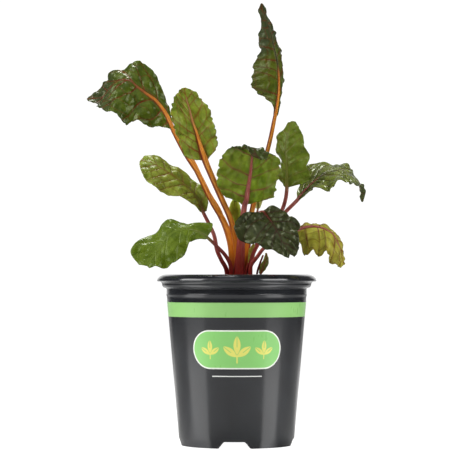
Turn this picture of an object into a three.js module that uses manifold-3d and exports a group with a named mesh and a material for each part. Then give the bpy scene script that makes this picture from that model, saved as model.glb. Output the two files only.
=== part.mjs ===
// A swiss chard in a round nursery pot: two seedlings grown together, one with orange stalks and one with red.
// Millimetres, +Z up. The origin is the middle of the pot's underside, on the surface that the pot stands on.
// +X is to the right and -Y towards the front, where the printed side of the pot is.
import * as THREE from "three";
import { mergeVertices } from "three/addons/utils/BufferGeometryUtils.js";
import Module from "manifold-3d";

const wasm = await Module();
wasm.setup();

// Pot: a thin formed shell.
const LIP_RADIUS = 57;
const LIP_TOP = 121.2;
const SHOULDER_RADIUS = 53.3;
const WALL_TOP_RADIUS = 50.6;
const WALL_TOP = 111.4;
const FOOT_RADIUS = 40;
const FOOT_HEIGHT = 5;
const WALL = 1;
const PAD_RADIUS = 14;
const NOTCH_WIDTH_LOW = 22.7;
const NOTCH_WIDTH_HIGH = 14.6;
const NOTCH_HEIGHT = 4.8;
const NOTCH_COUNT = 4;
const NOTCH_TURN = THREE.MathUtils.degToRad(-92.6);
const DRAIN_RADIUS = 3.5;
const DRAIN_CIRCLE = 30;
const ROUND_SIDES = 40;

// Soil: its top is about 12 mm below the lip, lumpy, with a shallow dish round the crowns.
const SOIL_TOP = 109;
const SOIL_LUMP = 0.7;
const DISH_DEPTH = 3.4;
const GAP = 0.3;

// Crowns: two halves of one clump, a domed top that narrows to the taproots.
const CLUMP_X = 3.4;
const CLUMP_Y = 2.2;
const CLUMP_WIDTH = 14.5;
const CLUMP_FLATNESS = 0.9;
const CLUMP_HEIGHT = 9;
const CLUMP_Z = 104;
const ROOT_DEPTH = 24;
const CLUMP_SPLIT_TURN = THREE.MathUtils.degToRad(24);

// Leaves.
const BLADE_THICKNESS = 0.8;
const STALK_FLATNESS = 0.8;
const STALK_SIDES = 6;
const RIB_REACH = 0.86;
const RIB_GAP = 0.45;

const paint = (colour, roughness, metalness = 0) =>
  new THREE.MeshStandardMaterial({ color: colour, roughness, metalness, side: THREE.DoubleSide });
const darkPlastic = paint("#343538", 0.3);
const pottingMix = paint("#33241a", 0.95);
const orangeStalk = paint("#c8711f", 0.4);
const redStalk = paint("#8a2f38", 0.4);
const crownRed = paint("#6a1014", 0.5);

const group = new THREE.Group();

function add(name, geometry, material) {
  const mesh = new THREE.Mesh(geometry, material);
  mesh.name = name;
  group.add(mesh);
}

// Joining and cutting.
function solid(geometry) {
  const bare = geometry.clone();
  bare.deleteAttribute("normal");
  bare.deleteAttribute("uv");
  const merged = mergeVertices(bare, 1e-4);
  return new wasm.Manifold(
    new wasm.Mesh({
      numProp: 3,
      vertProperties: new Float32Array(merged.attributes.position.array),
      triVerts: new Uint32Array(merged.index.array),
    }),
  );
}

function surface(body) {
  const mesh = body.getMesh();
  const geometry = new THREE.BufferGeometry();
  geometry.setAttribute("position", new THREE.BufferAttribute(new Float32Array(mesh.vertProperties), 3));
  geometry.setIndex(new THREE.BufferAttribute(new Uint32Array(mesh.triVerts), 1));
  geometry.computeVertexNormals();
  return geometry;
}

// A turned shape about +Z, from [radius, height] points that start and end on the axis.
function turned(profile, sides = ROUND_SIDES) {
  const points = profile.map(([radius, height]) => new THREE.Vector2(radius, height));
  return new THREE.LatheGeometry(points, sides).rotateX(Math.PI / 2);
}

function moveVertices(geometry, move) {
  const position = geometry.attributes.position;
  const point = new THREE.Vector3();
  for (let i = 0; i < position.count; i += 1) {
    point.fromBufferAttribute(position, i);
    move(point, i);
    position.setXYZ(i, point.x, point.y, point.z);
  }
  return geometry;
}

// Pot.
const potProfile = [
  [0, 0],
  [PAD_RADIUS, 0],
  [PAD_RADIUS + 4, FOOT_HEIGHT],
  [FOOT_RADIUS - 1.3, FOOT_HEIGHT],
  [FOOT_RADIUS - 1.2, 0],
  [FOOT_RADIUS, 0],
  [FOOT_RADIUS + 1.1, FOOT_HEIGHT + 0.4],
  [49.8, 103.6],
  [50.3, 104.3],
  [50.5, 106.6],
  [50.2, 107.3],
  [WALL_TOP_RADIUS, WALL_TOP],
  [52.3, 112.1],
  [SHOULDER_RADIUS, 113.6],
  [SHOULDER_RADIUS, 115],
  [52, 116.4],
  [52, 117.2],
  [53.2, 117.7],
  [56.2, 116.2],
  [LIP_RADIUS, 116.7],
  [56.5, 118.1],
  [54.8, 119.8],
  [52.4, 121],
  [50.3, LIP_TOP],
  [49.2, 120.4],
  [49.5, 118.2],
  [50.8, 116.4],
  [SHOULDER_RADIUS - WALL, 114.8],
  [SHOULDER_RADIUS - WALL, 113.9],
  [51.3, 112.9],
  [WALL_TOP_RADIUS - WALL, 111.7],
  [48.8, 103.6],
  [FOOT_RADIUS + 0.3, FOOT_HEIGHT + 2],
  [FOOT_RADIUS - 0.6, FOOT_HEIGHT + WALL],
  [PAD_RADIUS + 3.2, FOOT_HEIGHT + WALL],
  [PAD_RADIUS - 0.8, WALL],
  [0, WALL],
];

function notchedPot() {
  let body = solid(turned(potProfile));
  const outline = new THREE.Shape();
  outline.moveTo(-NOTCH_WIDTH_LOW / 2 - 0.85, -1);
  outline.lineTo(NOTCH_WIDTH_LOW / 2 + 0.85, -1);
  outline.lineTo(NOTCH_WIDTH_HIGH / 2, NOTCH_HEIGHT);
  outline.lineTo(-NOTCH_WIDTH_HIGH / 2, NOTCH_HEIGHT);
  for (let i = 0; i < NOTCH_COUNT; i += 1) {
    const turn = NOTCH_TURN + (i * 2 * Math.PI) / NOTCH_COUNT;
    const notch = new THREE.ExtrudeGeometry(outline, { depth: 10, bevelEnabled: false });
    notch.rotateX(Math.PI / 2).translate(0, -FOOT_RADIUS + 5, 0).rotateZ(turn + Math.PI / 2);
    const drain = new THREE.CylinderGeometry(DRAIN_RADIUS, DRAIN_RADIUS, 4, 16).rotateX(Math.PI / 2);
    drain.translate(DRAIN_CIRCLE, 0, FOOT_HEIGHT).rotateZ(turn);
    body = body.subtract(solid(notch)).subtract(solid(drain));
  }
  return body;
}
add("nursery_pot", surface(notchedPot()), darkPlastic);

// Crowns. The clump's outline, grown all round by a margin.
function clump(margin) {
  const wide = CLUMP_WIDTH + margin;
  const high = CLUMP_HEIGHT + margin;
  const profile = [[0, -ROOT_DEPTH - margin]];
  profile.push([2.5 + margin, -ROOT_DEPTH - margin]);
  profile.push([6 + margin, -ROOT_DEPTH * 0.55]);
  profile.push([wide * 0.82, -ROOT_DEPTH * 0.2]);
  for (let i = 0; i <= 5; i += 1) {
    const rise = (i / 6) * (Math.PI / 2);
    profile.push([wide * Math.cos(rise), high * Math.sin(rise)]);
  }
  profile.push([0, high]);
  return turned(profile, 24).scale(1, CLUMP_FLATNESS, 1).translate(CLUMP_X, CLUMP_Y, CLUMP_Z);
}

function halfClump(side) {
  const half = new THREE.BoxGeometry(80, 40, 80);
  half.translate(0, side * (20 + GAP / 2), 0).rotateZ(CLUMP_SPLIT_TURN).translate(CLUMP_X, CLUMP_Y, CLUMP_Z);
  return surface(solid(clump(0)).intersect(solid(half)));
}
add("crown_of_orange_seedling", halfClump(1), crownRed);
add("crown_of_red_seedling", halfClump(-1), crownRed);
const clumpSpace = solid(clump(GAP));

// Soil.
const soilProfile = [
  [0, WALL + GAP],
  [PAD_RADIUS - 1.1, WALL + GAP],
  [PAD_RADIUS + 2.9, FOOT_HEIGHT + WALL + GAP],
  [FOOT_RADIUS - 1.1, FOOT_HEIGHT + WALL + GAP],
  [FOOT_RADIUS - 0.2, FOOT_HEIGHT + 2.4],
  [48.2, 103.6],
  [48.6, SOIL_TOP],
  [43, SOIL_TOP],
  [36, SOIL_TOP],
  [29, SOIL_TOP],
  [22, SOIL_TOP],
  [15, SOIL_TOP],
  [7, SOIL_TOP],
  [0, SOIL_TOP],
];

function soilHeight(x, y) {
  const away = Math.hypot(x - CLUMP_X, y - CLUMP_Y);
  const dish = DISH_DEPTH * (1 - THREE.MathUtils.smoothstep(away, 15, 27));
  const lumps = Math.sin(x * 0.31 + 1.3) * Math.cos(y * 0.27 - 0.4) + 0.6 * Math.sin(x * 0.17 - y * 0.41);
  return SOIL_TOP - dish + SOIL_LUMP * lumps;
}

const soil = moveVertices(turned(soilProfile), (point) => {
  if (point.z > SOIL_TOP - 0.01) {
    point.z = soilHeight(point.x, point.y);
  }
});
add("potting_soil", surface(solid(soil).subtract(clumpSpace)), pottingMix);

// Leaves. A leaf is drawn as rows from its neck to its tip, each row a point on the left margin, one on the midrib
// and one on the right margin, as seen from the front with the tip up. The stalk's points lead from the crown to
// the first row. top is -1 where the front shows the leaf's upper side and 1 where it shows the back.
const vector = (point) => new THREE.Vector3(...point);
const spline = (points) => new THREE.CatmullRomCurve3(points.map(vector), false, "catmullrom", 0.5);

class Leaf {
  constructor({ stalk, rows = [], top, widths, waves = 0, waveCount = 0, wavePhase = 0 }) {
    this.rib = spline([...stalk, ...rows.map((row) => row[1])]);
    this.left = rows.length > 0 ? spline(rows.map((row) => row[0])) : null;
    this.right = rows.length > 0 ? spline(rows.map((row) => row[2])) : null;
    this.neck = rows.length > 0 ? stalk.length / (stalk.length + rows.length - 1) : 1;
    Object.assign(this, { top, widths, waves, waveCount, wavePhase });
  }

  // Half the stalk's width at t, from 0 at the crown to 1 at the leaf's tip.
  ribWidth(t) {
    const [foot, neck, tip] = this.widths;
    if (t <= this.neck) {
      return THREE.MathUtils.lerp(foot, neck, t / this.neck);
    }
    return THREE.MathUtils.lerp(neck, tip, (t - this.neck) / (1 - this.neck));
  }

  // Unit vectors along the rib, across it and towards the leaf's upper side.
  frame(t) {
    const along = this.rib.getTangent(t);
    const u = Math.max(0, (t - this.neck) / Math.max(1 - this.neck, 0.001));
    const across = new THREE.Vector3(1, 0, 0);
    if (this.left !== null) {
      across.subVectors(this.right.getPoint(u), this.left.getPoint(u));
    }
    across.addScaledVector(along, -across.dot(along)).normalize();
    const upper = new THREE.Vector3().crossVectors(along, across).multiplyScalar(this.top);
    return { along, across, upper };
  }

  // The middle of the blade's thickness: u runs from neck to tip and v from -1 at the left margin to 1 at the right.
  bladePoint(u, v) {
    const t = this.neck + (1 - this.neck) * u;
    const { across, upper } = this.frame(t);
    const rib = this.rib.getPoint(t);
    const reach = (v < 0 ? this.left : this.right).getPoint(u).sub(rib);
    const share = Math.abs(v);
    const rise = reach.dot(upper);
    reach.addScaledVector(upper, -rise);
    const width = this.ribWidth(t);
    const lift = STALK_FLATNESS * width + RIB_GAP + BLADE_THICKNESS / 2;
    const seat = 1 - THREE.MathUtils.smoothstep(Math.abs(reach.dot(across)) * share, 1.2 * width, 3.5 * width);
    const wave = this.waves * Math.min(1, 6 * u * (1 - u));
    const ripple = wave * Math.sin(2 * Math.PI * this.waveCount * u + this.wavePhase + Math.sign(v));
    const height = lift * seat + (rise + ripple) * share ** 2 * (1 - seat);
    return rib.addScaledVector(reach, share).addScaledVector(upper, height);
  }
}

// A blade: a sheet of rows and columns with one face on each side of it and a strip round its edge.
function bladeGeometry(leaf, rows, columns) {
  const sheet = new THREE.PlaneGeometry(2, 1, columns, rows);
  moveVertices(sheet, (point) => point.copy(leaf.bladePoint(point.y + 0.5, point.x)));
  sheet.computeVertexNormals();
  const middle = sheet.attributes.position;
  const normal = sheet.attributes.normal;
  const count = middle.count;
  const positions = [];
  for (const side of [0.5, -0.5]) {
    for (let i = 0; i < count; i += 1) {
      const point = new THREE.Vector3().fromBufferAttribute(middle, i);
      point.addScaledVector(new THREE.Vector3().fromBufferAttribute(normal, i), side * BLADE_THICKNESS);
      positions.push(point.x, point.y, point.z);
    }
  }
  const front = Array.from(sheet.index.array);
  const back = front.map((_, i) => front[i - (i % 3) + 2 - (i % 3)] + count);
  const rim = [];
  for (let i = 0; i < columns; i += 1) {
    rim.push(i);
  }
  for (let i = 0; i < rows; i += 1) {
    rim.push(columns + i * (columns + 1));
  }
  for (let i = columns; i > 0; i -= 1) {
    rim.push(rows * (columns + 1) + i);
  }
  for (let i = rows; i > 0; i -= 1) {
    rim.push(i * (columns + 1));
  }
  const edge = [];
  rim.forEach((a, i) => {
    const b = rim[(i + 1) % rim.length];
    edge.push(a, b, b + count, a, b + count, a + count);
  });
  const geometry = new THREE.BufferGeometry();
  geometry.setAttribute("position", new THREE.Float32BufferAttribute(positions, 3));
  geometry.setIndex([...front, ...back, ...edge]);
  geometry.computeVertexNormals();
  return geometry;
}

// A stalk: a round bar bent along the rib, flatter than wide, that narrows to its end and is cut off at the crown.
function stalkGeometry(leaf, steps) {
  const end = leaf.neck < 1 ? leaf.neck + (1 - leaf.neck) * RIB_REACH : 1;
  const bar = new THREE.CylinderGeometry(1, 1, 1, STALK_SIDES, steps).rotateX(Math.PI / 2);
  moveVertices(bar, (point) => {
    const t = (point.z + 0.5) * end;
    const { across, upper } = leaf.frame(t);
    const width = leaf.ribWidth(t);
    const offset = across.multiplyScalar(point.x * width).addScaledVector(upper, point.y * width * STALK_FLATNESS);
    point.copy(leaf.rib.getPoint(t)).add(offset);
  });
  return bar;
}

function closedOutward(geometry) {
  const body = solid(geometry);
  if (body.volume() > 0) {
    return body;
  }
  const turnedOut = geometry.clone();
  turnedOut.setIndex(Array.from(geometry.index.array).reverse());
  return solid(turnedOut);
}

function addLeaf(name, { blade, stalkPaint, detail, ...shape }) {
  const leaf = new Leaf(shape);
  const [rows, columns, steps] = detail;
  const stalk = closedOutward(stalkGeometry(leaf, steps)).subtract(clumpSpace);
  add(`${name}_stalk`, surface(stalk), stalkPaint);
  if (blade !== undefined) {
    add(`${name}_blade`, surface(closedOutward(bladeGeometry(leaf, rows, columns))), paint(blade, 0.5));
  }
}

addLeaf("leaf_left_top", {
  blade: "#3b5a1c",
  stalkPaint: orangeStalk,
  top: -1,
  widths: [2.6, 2, 0.7],
  waves: 2.6,
  waveCount: 4.5,
  wavePhase: 0.4,
  detail: [18, 8, 15],
  stalk: [
    [-3, 7, 104.5],
    [-3, 7, 123],
    [-3, 8, 136],
    [-5, 8.5, 148],
    [-10.5, 9.5, 162],
    [-19, 11, 177],
    [-29, 13, 197],
    [-38, 15, 211],
  ],
  rows: [
    [[-43.5, 15, 223.5], [-45.5, 16, 225], [-47.5, 17, 231.5]],
    [[-53, 16, 227.5], [-51.5, 18, 237.5], [-49, 22, 243.5]],
    [[-64.5, 16, 229], [-58.5, 20, 247], [-55, 26, 257]],
    [[-74, 15, 232], [-65, 21, 252], [-59.5, 28, 268.5]],
    [[-80.5, 14, 229], [-71.5, 22, 257], [-70.5, 30, 277]],
    [[-87.5, 14, 237], [-78, 23, 262.5], [-81.5, 32, 275]],
    [[-95.5, 16, 243], [-85.5, 26, 265.5], [-89.5, 35, 270]],
    [[-100.5, 22, 245], [-93, 32, 264], [-94, 40, 267.5]],
    [[-102.5, 30, 246.5], [-100.5, 36, 256.5], [-100, 42, 260]],
    [[-108.5, 33, 248], [-109.5, 35, 249.5], [-107.5, 38, 252]],
  ],
});

addLeaf("leaf_centre_left", {
  blade: "#5c7f2b",
  stalkPaint: orangeStalk,
  top: 1,
  widths: [2.3, 2, 0.7],
  waves: 2,
  waveCount: 4,
  wavePhase: 1.1,
  detail: [16, 8, 13],
  stalk: [
    [0, 2.5, 104.5],
    [0, 2.5, 123],
    [0, 2.5, 136],
    [-1.5, 2, 147.5],
    [-4.5, 0, 161],
    [-12, -3, 178],
    [-19.5, -6, 195],
  ],
  rows: [
    [[-25.5, -9, 202], [-22.5, -8, 202.5], [-20.5, -9, 202.5]],
    [[-37.5, -13, 205], [-25, -9, 209.5], [-14, -13, 211]],
    [[-41.5, -15, 216.5], [-27, -10, 216], [-13.5, -14, 218.5]],
    [[-45, -16, 225.5], [-29, -10.5, 223], [-15.5, -14, 225.5]],
    [[-47, -16, 234], [-31.5, -11, 230], [-17, -13, 233.5]],
    [[-46, -15, 242.5], [-33, -11, 236.5], [-20.5, -12, 240.5]],
    [[-43.5, -13, 248.5], [-35, -11, 243], [-25.5, -11, 247]],
    [[-41, -11, 251.5], [-36.5, -10.5, 249.5], [-31.5, -10, 252]],
    [[-39, -9, 253.5], [-37.5, -9, 254], [-36.5, -9, 254]],
  ],
});

addLeaf("leaf_top", {
  blade: "#2f4419",
  stalkPaint: orangeStalk,
  top: 1,
  widths: [2.3, 1.6, 0.6],
  waves: 2,
  waveCount: 4.5,
  wavePhase: 2,
  detail: [16, 8, 15],
  stalk: [
    [5.5, 7, 104.5],
    [6, 7.5, 126],
    [7, 8, 142.5],
    [9.5, 10, 159],
    [14, 12, 180],
    [19, 14, 198],
    [24, 15, 217],
  ],
  rows: [
    [[26, 16, 233.5], [27, 15, 231.5], [28, 17, 234.5]],
    [[23, 19, 246], [29, 15, 242], [30.5, 24, 245]],
    [[15, 22, 253.5], [30.5, 15, 253], [32, 32, 256]],
    [[10, 22, 261.5], [30.5, 15, 264], [32, 37, 267.5]],
    [[13, 21, 272.5], [29.5, 15, 274.5], [31.5, 36, 279]],
    [[16, 20, 282.5], [27, 15, 285.5], [31.5, 30, 287]],
    [[16.5, 18, 292.5], [24.5, 14, 295.5], [28.5, 24, 294.5]],
    [[17.5, 15, 303], [21.5, 13, 305.5], [25, 18, 302.5]],
    [[16, 12, 311], [18.5, 12, 313], [21.5, 13, 312.5]],
    [[17.5, 11, 316.5], [18, 11, 317], [19, 11, 316.5]],
  ],
});

addLeaf("leaf_middle", {
  blade: "#587a27",
  stalkPaint: redStalk,
  top: 1,
  widths: [3.2, 1.9, 0.7],
  waves: 1.3,
  waveCount: 4,
  wavePhase: 0,
  detail: [16, 8, 15],
  stalk: [
    [1.5, -4, 104.5],
    [1.5, -4, 123],
    [2.5, -5, 134.5],
    [3, -5.5, 144.5],
    [4, -6, 155.5],
  ],
  rows: [
    [[2.5, -8, 170], [5.5, -7, 167], [9.5, -8, 170.5]],
    [[-5.5, -8, 174.5], [7, -9.5, 174.5], [21.5, -6, 174]],
    [[-12, -9.5, 180.5], [8, -11, 182], [27.5, -7, 180.5]],
    [[-14.5, -11, 188], [9, -12.5, 188], [30, -9, 189]],
    [[-13.5, -12, 196], [10, -14, 194.5], [30.5, -12, 196]],
    [[-12, -13, 203], [10.5, -16, 200.5], [29, -16, 202]],
    [[-7, -15, 209], [11, -18, 207], [23.5, -19, 207]],
    [[1, -18, 212], [10.5, -22, 210.5], [17.5, -23, 209]],
    [[7, -25, 210], [12, -27, 209], [19, -28, 207]],
    [[10, -29, 205.5], [14, -30, 203.5], [18.5, -30, 202.5]],
  ],
});

addLeaf("leaf_right_tall", {
  blade: "#5a802a",
  stalkPaint: redStalk,
  top: 1,
  widths: [1.5, 1.3, 0.5],
  waves: 1.8,
  waveCount: 4,
  wavePhase: 0.9,
  detail: [14, 8, 13],
  stalk: [
    [10, 9, 104],
    [10, 11, 123],
    [11, 15.5, 134.5],
    [16.5, 16, 146],
    [25, 15, 156],
    [32, 11, 166],
    [35, 7, 174.5],
  ],
  rows: [
    [[34.5, 5, 184], [36, 4, 182.5], [37.5, 3, 184]],
    [[31, 9, 189], [36, 3, 190.5], [47.5, -2, 186]],
    [[30.5, 13, 197], [36, 3, 196.5], [52.5, -2, 190]],
    [[32, 14, 204.5], [36, 3, 203], [51.5, 0, 198.5]],
    [[28.5, 13, 211.5], [35, 4, 209.5], [51.5, 1, 206.5]],
    [[29, 12, 219], [35.5, 5, 216], [49, 2, 214]],
    [[32, 12, 224.5], [37, 6, 222.5], [47, 4, 222]],
    [[36.5, 12, 229.5], [39, 8, 228], [44.5, 7, 227]],
    [[39.5, 11, 231.5], [41, 10, 231.5], [42.5, 9.5, 231]],
  ],
});

addLeaf("leaf_right_arched", {
  blade: "#33471c",
  stalkPaint: redStalk,
  top: -1,
  widths: [1.6, 1.4, 0.5],
  waves: 2,
  waveCount: 3.5,
  wavePhase: 1.9,
  detail: [14, 8, 15],
  stalk: [
    [9, 0, 104.5],
    [9.5, 1, 123],
    [10, 2, 130],
    [12.5, 4, 137.5],
    [17.5, 5, 146],
    [26, 5, 156],
    [35.5, 5, 166.5],
  ],
  rows: [
    [[43, 9, 177], [43.5, 7, 174.5], [45.5, 4, 175.5]],
    [[45.5, 20, 186], [49, 9, 181], [51, 0, 180]],
    [[50.5, 29, 199], [55, 10, 187], [56.5, -6, 182.5]],
    [[60.5, 32, 202], [61.5, 9, 192], [62.5, -10, 181.5]],
    [[71, 30, 202.5], [68.5, 7, 195], [67.5, -14, 182.5]],
    [[78, 24, 201], [75.5, 3, 195.5], [74.5, -18, 187]],
    [[83.5, 14, 195.5], [81.5, -4, 191.5], [81, -20, 186.5]],
    [[88, -2, 188], [86.5, -12, 185.5], [85, -22, 182.5]],
    [[90.5, -12, 181], [88.5, -18, 178], [87.5, -22, 177]],
    [[89.5, -20, 173], [88.5, -21, 172], [87.5, -22, 173]],
  ],
});

addLeaf("leaf_front", {
  blade: "#272f20",
  stalkPaint: redStalk,
  top: -1,
  widths: [1.6, 1.4, 0.5],
  waves: 1.9,
  waveCount: 3.5,
  wavePhase: 0.3,
  detail: [14, 8, 13],
  stalk: [
    [5, 1, 104.5],
    [4.5, 1.5, 123],
    [4, 1.5, 134.5],
    [4.5, 0, 146],
    [8, -4, 155.5],
    [13.5, -10, 163.5],
  ],
  rows: [
    [[20, -19, 167.5], [18, -18, 165.5], [16, -20, 164.5]],
    [[27, -23, 169], [20.5, -24, 163], [6.5, -23, 164]],
    [[33, -28, 166.5], [23, -29, 159.5], [1, -28, 157]],
    [[38, -31, 160.5], [25, -33, 156.5], [1, -33, 148]],
    [[44, -33, 157.5], [27, -37, 153], [10, -38, 142.5]],
    [[42.5, -38, 151.5], [29, -41, 149], [17.5, -43, 139.5]],
    [[43.5, -42, 145], [31, -44, 144.5], [26.5, -46, 138]],
    [[42.5, -45, 138], [33.5, -47, 140.5], [32.5, -48, 133]],
    [[39.5, -48, 133], [36.5, -49, 135], [36, -49, 132.5]],
  ],
});

addLeaf("leaf_right_low", {
  blade: "#8f9032",
  stalkPaint: redStalk,
  top: 1,
  widths: [1.7, 1.4, 0.5],
  waves: 1.8,
  waveCount: 3.5,
  wavePhase: 2.6,
  detail: [14, 8, 13],
  stalk: [
    [10, -4.5, 104.5],
    [9.5, -5, 122],
    [10.5, -5.5, 128],
    [14.5, -7, 133.5],
    [20, -9, 140.5],
    [30.5, -12, 147.5],
  ],
  rows: [
    [[40.5, -11, 152.5], [40.5, -14, 151], [42, -15, 150]],
    [[48, -6, 156], [47, -15, 154], [44.5, -16, 143.5]],
    [[54, -3, 157], [52.5, -16, 155], [48, -19, 134]],
    [[60.5, -3, 155.5], [58, -18, 154.5], [53.5, -22, 136.5]],
    [[66.5, -5, 152.5], [63.5, -20, 152.5], [58.5, -25, 135]],
    [[71.5, -9, 148], [68, -22, 149], [62.5, -27, 136]],
    [[74, -15, 141.5], [71, -25, 143], [66, -29, 130.5]],
    [[75.5, -20, 135], [73, -27, 137], [69.5, -30, 127]],
    [[75.5, -26, 128], [74.5, -28, 127.5], [73, -30, 126]],
  ],
});

addLeaf("leaf_left_middle", {
  blade: "#6a7425",
  stalkPaint: redStalk,
  top: -1,
  widths: [1.6, 1.4, 0.5],
  waves: 2,
  waveCount: 4,
  wavePhase: 0.8,
  detail: [14, 8, 13],
  stalk: [
    [-7, -0.5, 104.5],
    [-6, -0.5, 123],
    [-9.5, 1, 131],
    [-13, 4, 138.5],
    [-16, 8, 149],
    [-20, 11, 158],
  ],
  rows: [
    [[-26, 12, 166], [-24, 13, 166], [-21.5, 14, 167]],
    [[-31.5, 10, 172], [-27, 14.5, 173.5], [-20.5, 20, 175]],
    [[-38.5, 10, 176.5], [-32, 16, 181], [-25, 23, 184.5]],
    [[-45.5, 10, 179], [-38, 17, 186.5], [-33, 25, 191.5]],
    [[-53, 11, 183], [-44.5, 18, 191.5], [-41, 26, 198]],
    [[-60, 13, 189], [-51, 19, 196], [-49, 27, 202]],
    [[-65.5, 16, 194.5], [-57.5, 21, 200], [-57.5, 28, 207]],
    [[-69, 21, 200], [-64, 24, 203], [-64.5, 29, 208.5]],
    [[-70.5, 26, 203], [-69.5, 27, 204.5], [-68, 29, 206.5]],
  ],
});

addLeaf("leaf_left_low", {
  blade: "#73952c",
  stalkPaint: redStalk,
  top: -1,
  widths: [1.6, 1.4, 0.5],
  waves: 1.8,
  waveCount: 3.5,
  wavePhase: 1.7,
  detail: [14, 8, 13],
  stalk: [
    [-4.5, -5, 104.5],
    [-4, -6, 124.5],
    [-8, -9, 133.5],
    [-14, -12, 141],
  ],
  rows: [
    [[-21.5, -15, 146], [-21, -14, 147.5], [-19.5, -13, 149.5]],
    [[-28, -18, 146], [-26.5, -15, 151], [-22, -11, 157]],
    [[-32.5, -20, 144.5], [-33, -16, 153], [-30.5, -10, 156.5]],
    [[-35, -22, 139], [-40, -17, 153], [-39, -9, 158.5]],
    [[-38.5, -24, 133.5], [-46.5, -18, 149.5], [-48, -9, 160]],
    [[-44, -25, 128.5], [-51.5, -19.5, 144], [-56.5, -10, 152.5]],
    [[-50.5, -26, 126], [-55.5, -21, 138.5], [-68, -13, 145.5]],
    [[-57, -26, 126.5], [-59.5, -23, 132.5], [-75, -18, 137]],
    [[-61.5, -26, 125.5], [-63, -25, 127], [-69, -23, 128]],
  ],
});

addLeaf("leaf_young", {
  blade: "#7f9633",
  stalkPaint: redStalk,
  top: -1,
  widths: [1.2, 1, 0.4],
  detail: [8, 4, 9],
  stalk: [
    [2, 7, 104.5],
    [1.5, 7.5, 126],
    [1, 8, 142.5],
  ],
  rows: [
    [[-1, 7.5, 156], [0.5, 8.5, 154.5], [2, 7.5, 156]],
    [[-4, 4, 161.5], [0, 8.5, 161], [3, 4, 161.5]],
    [[-5.5, 3.5, 166.5], [-0.5, 8.5, 166], [3, 3.5, 166.5]],
    [[-4.5, 4, 171.5], [-0.5, 8.5, 171], [2, 4, 171.5]],
    [[-2, 7, 176], [-1.5, 8.5, 176.5], [-0.5, 7, 176]],
  ],
});

addLeaf("leaf_back", {
  blade: "#8fa350",
  stalkPaint: redStalk,
  top: 1,
  widths: [1, 0.9, 0.4],
  detail: [8, 4, 8],
  stalk: [
    [6, 12, 104],
    [7.5, 14, 126],
    [10, 17, 146],
    [12.5, 20, 159],
  ],
  rows: [
    [[14, 21, 169.5], [15.5, 22, 168.5], [17, 21, 169.5]],
    [[11.5, 20, 174.5], [15.5, 22, 175], [19, 20, 174.5]],
    [[10, 21, 180.5], [15.5, 23, 181], [21.5, 21, 180.5]],
    [[10.5, 22, 187], [15.5, 24, 187], [20, 22, 187]],
    [[14, 25, 191.5], [15, 26, 192], [16.5, 25, 191.5]],
  ],
});

addLeaf("leaf_inner", {
  blade: "#6f8f2c",
  stalkPaint: redStalk,
  top: -1,
  widths: [1.1, 0.9, 0.4],
  detail: [7, 4, 7],
  stalk: [
    [9.5, 5, 104.5],
    [9.5, 6, 121],
  ],
  rows: [
    [[8.5, 10, 128.5], [9.5, 10, 128], [11, 10, 128.5]],
    [[7.5, 11.5, 133], [10, 11.5, 132.5], [12.5, 11.5, 132.5]],
    [[8, 12, 137], [10.5, 12, 136], [13.5, 12, 136]],
    [[9.5, 12, 140], [11, 12, 139.5], [13.5, 12, 140]],
    [[11.5, 12, 143], [12, 12, 143.5], [13, 12, 143]],
  ],
});

addLeaf("leaf_edge", {
  blade: "#5f7a2a",
  stalkPaint: redStalk,
  top: -1,
  widths: [1.1, 0.9, 0.4],
  detail: [7, 4, 7],
  stalk: [
    [15, -1.5, 104.5],
    [15.5, -2, 116.5],
  ],
  rows: [
    [[16, -3, 122], [17, -2, 121], [18.5, -2, 122]],
    [[16.5, -4, 126.5], [18.5, -2, 126], [21.5, -1, 126]],
    [[18.5, -3.5, 130.5], [20, -1.5, 130], [23, 0, 130]],
    [[20, -2, 134], [21, -1, 133.5], [22.5, 0, 133.5]],
    [[20.5, -0.5, 136.5], [21, 0, 136.5], [21.5, 0.5, 136.5]],
  ],
});

addLeaf("shoot_front", {
  stalkPaint: redStalk,
  top: 1,
  widths: [0.9, 0.7, 0.4],
  detail: [0, 0, 6],
  stalk: [
    [5.5, -4.5, 104.5],
    [6.5, -4.5, 121],
    [7.5, -5, 126.5],
    [8.5, -5, 129.5],
  ],
});

addLeaf("shoot_side", {
  stalkPaint: redStalk,
  top: 1,
  widths: [0.8, 0.6, 0.4],
  detail: [0, 0, 6],
  stalk: [
    [13.5, 2.5, 104.5],
    [14.5, 2.5, 121],
    [16.5, 3, 128.5],
    [18, 3, 132.5],
    [19, 3, 135],
  ],
});

export default group;
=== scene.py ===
import math
import random

import bmesh
import bpy
from mathutils import Matrix, Vector, noise


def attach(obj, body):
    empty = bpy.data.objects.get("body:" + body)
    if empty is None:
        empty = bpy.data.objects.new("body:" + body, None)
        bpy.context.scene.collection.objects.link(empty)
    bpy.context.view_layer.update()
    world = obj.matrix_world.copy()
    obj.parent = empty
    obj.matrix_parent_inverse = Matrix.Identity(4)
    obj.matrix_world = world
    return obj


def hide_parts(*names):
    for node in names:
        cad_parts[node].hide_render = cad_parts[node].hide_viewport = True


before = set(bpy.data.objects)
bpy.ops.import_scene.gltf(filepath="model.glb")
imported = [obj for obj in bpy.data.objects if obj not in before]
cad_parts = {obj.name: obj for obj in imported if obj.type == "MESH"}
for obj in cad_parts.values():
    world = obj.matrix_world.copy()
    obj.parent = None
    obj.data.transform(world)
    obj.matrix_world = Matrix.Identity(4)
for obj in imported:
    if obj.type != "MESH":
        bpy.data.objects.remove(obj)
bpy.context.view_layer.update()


# Viewpoint. The plant was seen from straight in front, level with the pot's rim and from far enough away
# that the sides of the pot hardly converge.
MM = 0.001
eye = Vector((-8.3, -1500, 118)) * MM
looked_at = Vector((-8.3, 0, 156.5)) * MM
lens = bpy.data.cameras.new("viewpoint")
lens.sensor_width = 36
lens.lens = 168
viewpoint = bpy.data.objects.new("viewpoint", lens)
viewpoint.location = eye
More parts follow.
